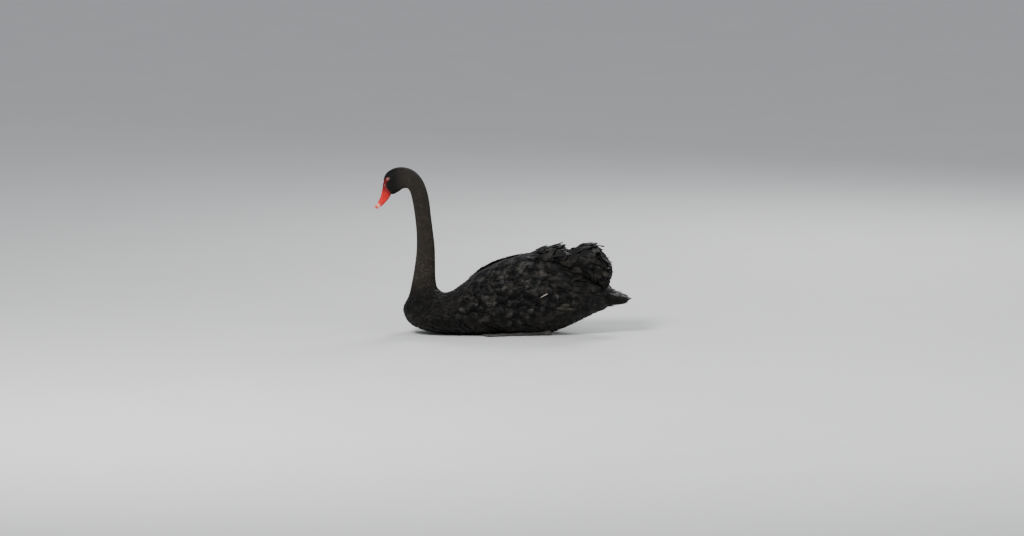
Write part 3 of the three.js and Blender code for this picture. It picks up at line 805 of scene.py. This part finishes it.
def lids(side, word):
    torus = add_alone(bpy.ops.mesh.primitive_torus_add, major_segments=64, minor_segments=16, major_radius=1,
                      minor_radius=0.15)
    ring, faces = read_shape(torus)
    turn = np.arctan2(ring[:, 1], ring[:, 0])
    reach = np.hypot(ring[:, 0], ring[:, 1]) * (LID_LENGTH - LID_NARROWING * np.abs(np.sin(turn)) ** 2)
    x, z = reach * np.cos(turn), reach * np.sin(turn) * 1.02
    y = LID_OUT + ring[:, 2] * LID_HEIGHT + 0.3 * x - 0.14 * z
    places = np.stack([EYE[0] + x * MM, -side * y * MM, EYE[2] + z * MM], -1)
    write_piece(f"lid_{word}", places, [face[::-side] for face in faces], (),
                {"OFBake": np.stack([turn / TURN + 0.5, ring[:, 2] + 0.5], -1)}, x * 0)


for side, word in SIDES:
    eye(side, word)
    lids(side, word)

# %% [markdown]
# Each foot lies flat under the flank with its three toes forward and the web half folded between them. The toes
# share one set of ribs at three lengths, and a leaf pulled out between two toes makes a web. The right leg
# mirrors the left, and its faces are turned again.

# %% Legs and webbed feet
TARSUS_RIBS = [
    rib((140, 9), (140, 9), 0),
    rib((135, 17.5), (135, 0.5), 7),
    rib((124, 20), (124, -1), 8.8),
    rib((110, 15), (110, 1), 6.2),
    rib((78, 12), (78, 1), 5),
    rib((50, 11.5), (50, 0.5), 5.6),
    rib((36, 12.5), (36, -1), 8.5),
    rib((22, 6), (22, 6), 0),
]
TOE_RIBS = [
    rib((12, 5), (12, 5), 0),
    rib((6, 11), (6, -1), 6),
    rib((-26, 8.5), (-26, 0.5), 4.4),
    rib((-46, 9.5), (-46, -1), 5.2),
    rib((-74, 7), (-74, 0.5), 3.8),
    rib((-98, 7), (-98, -1), 4),
    rib((-106, 7.5), (-106, 1.5), 2.4),
    rib((-118, 1.5), (-118, 1.5), 0),
]
# Turn and length of each toe, as a share of the middle one
TOES = ((-0.19, 0.86), (0.0, 1.0), (0.19, 0.93))
TOE_ROOT = 30
WEB_LENGTH, WEB_HOLLOW, WEB_FOLD = 96, 0.3, 0.9
LEG_TURN, LEG_OUT = 0.12, 77


def turned(places, angle, shift):
    cos, sin = math.cos(angle), math.sin(angle)
    x, y = places[:, 0] * cos - places[:, 1] * sin, places[:, 0] * sin + places[:, 1] * cos
    return np.stack([x, y, places[:, 2]], -1) + np.array(shift) * MM


def limb(ribs, rings):
    form = Form(ribs, 2.1)
    faces, along, around = ball(24, rings)
    places = form.surface(along * form.last, around * form.turn)
    return places, faces, round_map(along, around)["OFBake"], along * 0


def toe(angle, long):
    places, *rest = limb(TOE_RIBS, 84)
    return turned(places * np.array([long, 1, 1]), angle, (TOE_ROOT, 0, 0)), *rest


def web(toe_a, toe_b):
    _, t, face, plain, faces = leaf_shape(8, 14, 1, 0.99)
    share = (plain + 1) / 2
    reach = WEB_LENGTH * t * (1 - WEB_HOLLOW * np.sin(share * math.pi) * t)
    ends = [np.stack([-np.cos(turn) * reach * long, -np.sin(turn) * reach * long], -1)
            for turn, long in (toe_a, toe_b)]
    flat = ends[0] * (1 - share[:, None]) + ends[1] * share[:, None]
    fold = 3.2 + face * 0.8 + WEB_FOLD * np.sin(share * 4 * math.pi) * t
    places = np.stack([flat[:, 0] + TOE_ROOT, flat[:, 1], fold], -1) * MM
    return places, faces[:, ::-1].tolist(), np.stack([share, t], -1), t * 0 + 1


leg_faces, (leg, patch, tone) = join(
    [limb(TARSUS_RIBS, 72)] + [toe(*one) for one in TOES] + [web(*pair) for pair in zip(TOES, TOES[1:])])
leg = turned(leg, LEG_TURN, (0, -LEG_OUT, 0))
leg[:, 2] = np.maximum(leg[:, 2], 0)
for side, word in SIDES:
    write_piece(f"leg_{word}", leg * np.array([1, side, 1]), [face[::side] for face in leg_faces],
                (f"tarsus_{word}", f"foot_{word}"), {"OFBake": patch}, tone)

# %% [markdown]
# The finishes are built from nodes, so that they need no picture and stay sharp close up. A few helpers add and
# link nodes in one line each, because a tree of thirty nodes is easier to read as a formula.


# %% Finishes: a small language for nodes
def add(tree, kind, *inputs, **settings):
    node = tree.nodes.new(kind)
    for key, value in settings.items():
        setattr(node, key, value)
    for i, value in enumerate(inputs):
        if value is None:
            continue
        if isinstance(value, bpy.types.NodeSocket):
            tree.links.new(value, node.inputs[i])
        else:
            node.inputs[i].default_value = value
    return node


def math_node(tree, operation, *inputs):
    return add(tree, "ShaderNodeMath", *inputs, operation=operation).outputs[0]


def times(tree, a, b):
    return math_node(tree, "MULTIPLY", a, b)


def ramp(tree, value, low, high, to_low=0.0, to_high=1.0):
    """Turns a value from low to high softly into one from to_low to to_high."""
    node = add(tree, "ShaderNodeMapRange", value, low, high, to_low, to_high, interpolation_type="SMOOTHSTEP")
    return node.outputs[0]


def mix(tree, share, a, b):
    """Mixes two colours. The sockets of colours are the seventh and the eighth of this node."""
    node = add(tree, "ShaderNodeMix", share, None, None, None, None, None, a, b, data_type="RGBA")
    return node.outputs[2]


def noise(tree, scale, detail):
    """A cloudy pattern, 0 to 1, that keeps its place on the model. The clouds are smaller at a larger scale."""
    place = add(tree, "ShaderNodeTexCoord").outputs["Object"]
    return add(tree, "ShaderNodeTexNoise", place, None, scale, detail).outputs["Fac"]


def tone_of(tree):
    return add(tree, "ShaderNodeAttribute", attribute_name="tone").outputs["Fac"]


def colour(red, green, blue):
    """A colour given as on a paint card, 0 to 255, turned to light."""
    light = [((c / 255 + 0.055) / 1.055) ** 2.4 if c > 10 else c / 255 / 12.92 for c in (red, green, blue)]
    return (*light, 1.0)


print("a grey of 128 on the card is", round(colour(128, 128, 128)[0], 3), "of the light")

# %% [markdown]
# A vane has a shaft down its middle, barbs that slant away from it and a paler, patchy rim that is partly the
# feather's grey-brown fringe and partly a painted sheen. One node group draws all of that from the feather's own
# map. Its tone makes each feather a little lighter or darker, and a painted sheen lies over many feathers in soft
# pale patches. As a group it is built once, and each plumage gives it its colours.

# %% The feather group
COLOUR, NUMBER = "NodeSocketColor", "NodeSocketFloat"
GIVEN = {"Base": COLOUR, "Edge": COLOUR, "Edge amount": NUMBER, "Barbs": NUMBER, "Painted sheen": NUMBER}
RESULTS = {"Color": COLOUR, "Roughness": NUMBER, "Height": NUMBER}


def feather_group():
    tree = bpy.data.node_groups.new("feather", "ShaderNodeTree")
    for in_out, sockets in (("INPUT", GIVEN), ("OUTPUT", RESULTS)):
        for name, kind in sockets.items():
            tree.interface.new_socket(name, in_out=in_out, socket_type=kind)
    given = tree.nodes.new("NodeGroupInput").outputs
    result = tree.nodes.new("NodeGroupOutput").inputs
    vane = add(tree, "ShaderNodeUVMap", uv_map="vane").outputs[0]
    place = add(tree, "ShaderNodeSeparateXYZ", vane).outputs
    tone = tone_of(tree)
    # Barbs slant away from the shaft, a little unevenly
    out = math_node(tree, "ABSOLUTE", math_node(tree, "MULTIPLY_ADD", place[0], 2.0, -1.0))
    slant = math_node(tree, "MULTIPLY_ADD", out, -0.55, place[1])
    loose = math_node(tree, "MULTIPLY_ADD", noise(tree, 420.0, 3.0), 0.05, slant)
    barbs = math_node(tree, "SINE", times(tree, loose, given["Barbs"]))
    shaft = times(tree, ramp(tree, out, 0.1, 0.02), ramp(tree, place[1], 0.95, 0.2))
    # The pale rim, part fringe and part painted sheen, runs round the tip and fades towards the foot
    far = math_node(tree, "MAXIMUM", times(tree, out, ramp(tree, place[1], 0.35, 0.8)), place[1])
    patchy = noise(tree, 42.0, 4.0)
    share = times(tree, ramp(tree, far, 0.72, 1.0), ramp(tree, patchy, 0.35, 0.7, 0.25, 1.0))
    share = times(tree, share, given["Edge amount"])
    share = times(tree, share, ramp(tree, tone, 0.0, 1.0, 0.35, 1.2))
    # Soft pale patches over many feathers are a painted sheen, drawn towards the edge colour
    painted_sheen = times(tree, ramp(tree, patchy, 0.42, 0.8), given["Painted sheen"])
    shade = mix(tree, math_node(tree, "MAXIMUM", share, painted_sheen), given["Base"], given["Edge"])
    # Barbs and tone shade the colour, the gloss and the relief
    darker = math_node(tree, "MULTIPLY_ADD", barbs, 0.16, ramp(tree, tone, 0.0, 1.0, 0.72, 1.1))
    shaded = add(tree, "ShaderNodeVectorMath", shade, None, operation="SCALE")
    rough = math_node(tree, "MULTIPLY_ADD", barbs, 0.06, ramp(tree, tone, 0.0, 1.0, 0.42, 0.6))
    tree.links.new(darker, shaded.inputs["Scale"])
    tree.links.new(shaded.outputs[0], result["Color"])
    tree.links.new(rough, result["Roughness"])
    tree.links.new(math_node(tree, "MULTIPLY_ADD", barbs, 0.25, shaft), result["Height"])
    return tree


FEATHER = feather_group()
print("the feather group has", len(FEATHER.nodes), "nodes")

# %% [markdown]
# The velvet of the neck is a warm grey that fades to black on the face and at the foot of the neck. The body is
# black with grey-brown edges, the ruffle is the blackest, and the flight feathers are off-white. Black plumage
# takes its form from the light on it, so the lamps' sheen is kept low and a painted sheen carries the relief: the
# soft pale patches, and in part the pale edges.


# %% Finishes of the plumage
DULL = 0.13
# From dark to light: across the face, and up from the foot of the neck
FACE_FADE, NECK_FADE = (-0.375, -0.318), (0.1, 0.2)


def material(name, **values):
    made = bpy.data.materials.new(name)
    made.use_nodes = True
    shader = made.node_tree.nodes["Principled BSDF"]
    for key, value in values.items():
        shader.inputs[key.replace("_", " ")].default_value = value
    return made, made.node_tree, shader


def bump(tree, shader, height, distance):
    node = add(tree, "ShaderNodeBump", 1.0, distance)
    tree.links.new(height, node.inputs["Height"])
    tree.links.new(node.outputs[0], shader.inputs["Normal"])


def feather_finish(name, base, edge, amount, barbs, painted_sheen, dark=None):
    """With a dark colour, the face and the foot of the neck fade to it."""
    made, tree, shader = material(name, Specular_IOR_Level=DULL)
    group = add(tree, "ShaderNodeGroup", base, edge, amount, barbs, painted_sheen, node_tree=FEATHER)
    if dark:
        place = add(tree, "ShaderNodeSeparateXYZ", add(tree, "ShaderNodeTexCoord").outputs["Object"]).outputs
        light = times(tree, ramp(tree, place[0], *FACE_FADE), ramp(tree, place[2], *NECK_FADE))
        tree.links.new(mix(tree, light, dark, base), group.inputs["Base"])
        tree.links.new(mix(tree, light, tuple(2.2 * c for c in dark), edge), group.inputs["Edge"])
    tree.links.new(group.outputs["Color"], shader.inputs["Base Color"])
    tree.links.new(group.outputs["Roughness"], shader.inputs["Roughness"])
    bump(tree, shader, group.outputs["Height"], 0.3 * MM)
    return made


BLACK = colour(8, 8, 7)
# The last number of each finish is how much painted sheen lies over its feathers in soft pale patches
VELVET = feather_finish("velvet", colour(56, 51, 46), colour(84, 77, 70), 0.5, 20.0, 0.4, BLACK)
CONTOUR = feather_finish("contour feathers", BLACK, colour(56, 51, 46), 0.3, 90.0, 0.6)
COVERTS = feather_finish("wing feathers", colour(6, 6, 6), colour(72, 68, 63), 0.25, 130.0, 0.75)
RUFFLE = feather_finish("ruffled plumes", colour(5, 5, 5), colour(58, 54, 49), 0.3, 170.0, 0.6)
WHITE = feather_finish("white flight feathers", colour(160, 152, 140), colour(205, 196, 184), 0.5, 130.0, 0.5)
PALE_FLANK = feather_finish("pale flank feathers", colour(46, 44, 37), colour(78, 73, 62), 0.6, 110.0, 0.8)
print("the velvet's finish has", len(VELVET.node_tree.nodes), "nodes round the feather group")

# %% [markdown]
# The bare skin is a fleshy dark red. The bill is a waxy coral red, darker at its root, with a pale bar before
# the nail. Its bands are read from how far along the bill a place lies, so they run round it evenly. The skin
# reads the same attribute, which there tells flesh from feathers.


# %% Finishes of the skin and the bill
def skin_finish():
    made, tree, shader = material("skin", Roughness=0.6, Specular_IOR_Level=0.2)
    grain = noise(tree, 700.0, 4.0)
    flesh = mix(tree, grain, colour(66, 2, 4), colour(98, 4, 6))
    tree.links.new(mix(tree, tone_of(tree), colour(12, 11, 10), flesh), shader.inputs["Base Color"])
    bump(tree, shader, grain, 0.2 * MM)
    return made


def bill_finish():
    made, tree, shader = material("bill", Specular_IOR_Level=0.35, Coat_Weight=0.12, Coat_Roughness=0.15)
    cloud = noise(tree, 90.0, 4.0)
    grain = noise(tree, 900.0, 3.0)
    shade = mix(tree, ramp(tree, cloud, 0.3, 0.7), colour(152, 0, 2), colour(190, 3, 5))
    moved = math_node(tree, "MULTIPLY_ADD", cloud, 0.02, math_node(tree, "SUBTRACT", tone_of(tree), 0.01))
    shade = mix(tree, ramp(tree, moved, 0.18, 0.42), colour(88, 2, 4), shade)
    shade = mix(tree, ramp(tree, moved, 0.6, 0.74, 0.0, 0.5), shade, colour(214, 88, 74))
    band = times(tree, ramp(tree, moved, 0.68, 0.73), ramp(tree, moved, 0.82, 0.77))
    shade = mix(tree, times(tree, band, 0.8), shade, colour(226, 172, 152))
    shade = mix(tree, ramp(tree, moved, 0.86, 0.92), shade, colour(216, 140, 118))
    tree.links.new(shade, shader.inputs["Base Color"])
    tree.links.new(ramp(tree, grain, 0.2, 0.8, 0.24, 0.42), shader.inputs["Roughness"])
    bump(tree, shader, grain, 0.15 * MM)
    return made


SKIN, BILL = skin_finish(), bill_finish()
print("the bill's finish has", len(BILL.node_tree.nodes), "nodes")

# %% [markdown]
# The eye has a black pupil in a streaky red iris under a wet coat. Its rings are read from how far a place lies
# from the front of the ball. Legs, lids and the cores under the feathers are plainer: one finish with small
# cells, as of scales, serves them all with other colours and sizes.


# %% Finishes of the eyes, lids and legs
def eye_finish():
    made, tree, shader = material("eye", Roughness=0.06, Coat_Weight=1.0, Coat_Roughness=0.02)
    along = tone_of(tree)
    iris = mix(tree, noise(tree, 1800.0, 3.0), colour(84, 6, 6), colour(156, 20, 18))
    shade = mix(tree, ramp(tree, along, 0.13, 0.15), colour(6, 5, 5), iris)
    shade = mix(tree, ramp(tree, along, 0.27, 0.3), shade, colour(40, 8, 8))
    tree.links.new(shade, shader.inputs["Base Color"])
    return made


def scaly_finish(name, dark, light, scale, height):
    made, tree, shader = material(name)
    place = add(tree, "ShaderNodeTexCoord").outputs["Object"]
    cells = add(tree, "ShaderNodeTexVoronoi", place, None, scale).outputs["Distance"]
    cloud = ramp(tree, noise(tree, scale / 5, 3.0), 0.3, 0.7)
    tree.links.new(mix(tree, cloud, dark, light), shader.inputs["Base Color"])
    tree.links.new(ramp(tree, cells, 0.0, 0.6, 0.5, 0.72), shader.inputs["Roughness"])
    bump(tree, shader, cells, height)
    return made


EYES = eye_finish()
LIDS = scaly_finish("lids", colour(118, 60, 56), colour(166, 106, 98), 900.0, 0.2 * MM)
LEGS = scaly_finish("scaly legs", colour(34, 33, 33), colour(58, 55, 52), 420.0, 0.6 * MM)
CORE = scaly_finish("under feathers", colour(14, 13, 12), colour(22, 20, 19), 200.0, 0.4 * MM)
print(len(bpy.data.materials), "materials")

# %% [markdown]
# Each piece gets one finish, and the two sides share theirs. They are put on in one place, at the end, so that a
# finish can be changed without touching the shapes.


# %% Put the finishes on
def both(*names):
    return [f"{name}_{word}" for name in names for _, word in SIDES]


FINISHES = (
    (SKIN, ["skin"]),
    (VELVET, ["head_velvet", "neck_velvet"]),
    (CONTOUR, ["breast_feathers", "torso_feathers", "tail_feathers"]),
    (COVERTS, both("wing_feathers", "wing_barbs")),
    (RUFFLE, both("tertial_plumes")),
    (WHITE, ["white_tips"]),
    (PALE_FLANK, ["pale_flank_feathers"]),
    (BILL, ["bill"]),
    (EYES, both("eyeball")),
    (LIDS, both("lid")),
    (LEGS, both("leg")),
    (CORE, [*both("rump_mound"), "tail_core"]),
)
for finish, names in FINISHES:
    for name in names:
        bpy.data.objects[name].data.materials.append(finish)
    print(finish.name, "on", ", ".join(names))

# %% [markdown]
# The bird lies on a wide pale floor under soft lamps: a large key from the upper left, a fill and a rim from
# behind that draws the edges of the dark feathers. Disk lamps are used, because their round glints suit the eye.


# %% Floor and lamps
floor = add_alone(bpy.ops.mesh.primitive_plane_add, size=160, location=(0, 0, 0))
floor.name = "floor"
floor_finish, tree, shader = material("floor", Roughness=0.7)
speckle = mix(tree, noise(tree, 3.0, 2.0), colour(196, 196, 194), colour(202, 202, 200))
tree.links.new(speckle, shader.inputs["Base Color"])
floor.data.materials.append(floor_finish)


def aimed(name, data, place, aim):
    """Links a lamp or camera to the scene, looking from its place at its aim."""
    made = bpy.data.objects.new(name, data)
    made.location = place
    made.rotation_euler = (Vector(aim) - Vector(place)).to_track_quat("-Z", "Y").to_euler()
    bpy.context.scene.collection.objects.link(made)
    return made


def lamp(name, place, height, size, power):
    light = bpy.data.lights.new(name, "AREA")
    light.shape = "DISK"
    light.size = size
    light.energy = power
    aimed(name, light, place, (0, 0, height)).visible_camera = False
    print(name, "lamp of", power, "W")


lamp("key", (-1.6, -2.8, 3.0), 0.2, 1.4, 230)
lamp("fill", (3.0, -2.6, 1.8), 0.2, 2.4, 50)
lamp("rim", (1.6, 3.0, 2.8), 0.25, 1.8, 115)
world = bpy.data.worlds.new("studio")
world.use_nodes = True
sky = world.node_tree.nodes["Background"].inputs
sky["Color"].default_value = (0.9, 0.93, 1.0, 1)
sky["Strength"].default_value = 0.6
bpy.context.scene.world = world

# %% [markdown]
# The camera looks at the bird's left side from far away through a long lens, a few degrees above the floor. The
# distance keeps the near and the far side at one scale, so the lens follows from the width of the picture: 1024
# dots of 3.2 mm each.

# %% Camera
PICTURE_WIDTH = 1024 * 3.2 * MM
SENSOR_WIDTH = 36
AIM = Vector((0.0128, 0, 0.2096))
ELEVATION = math.radians(7)
DISTANCE = 20.0
camera_data = bpy.data.cameras.new("camera")
camera_data.sensor_width = SENSOR_WIDTH
camera_data.lens = SENSOR_WIDTH * DISTANCE / PICTURE_WIDTH
camera_data.clip_end = 300
camera_place = AIM + DISTANCE * Vector((0, -math.cos(ELEVATION), math.sin(ELEVATION)))
bpy.context.scene.camera = aimed("camera", camera_data, camera_place, AIM)
print("the lens is", round(camera_data.lens, 1), "mm long")
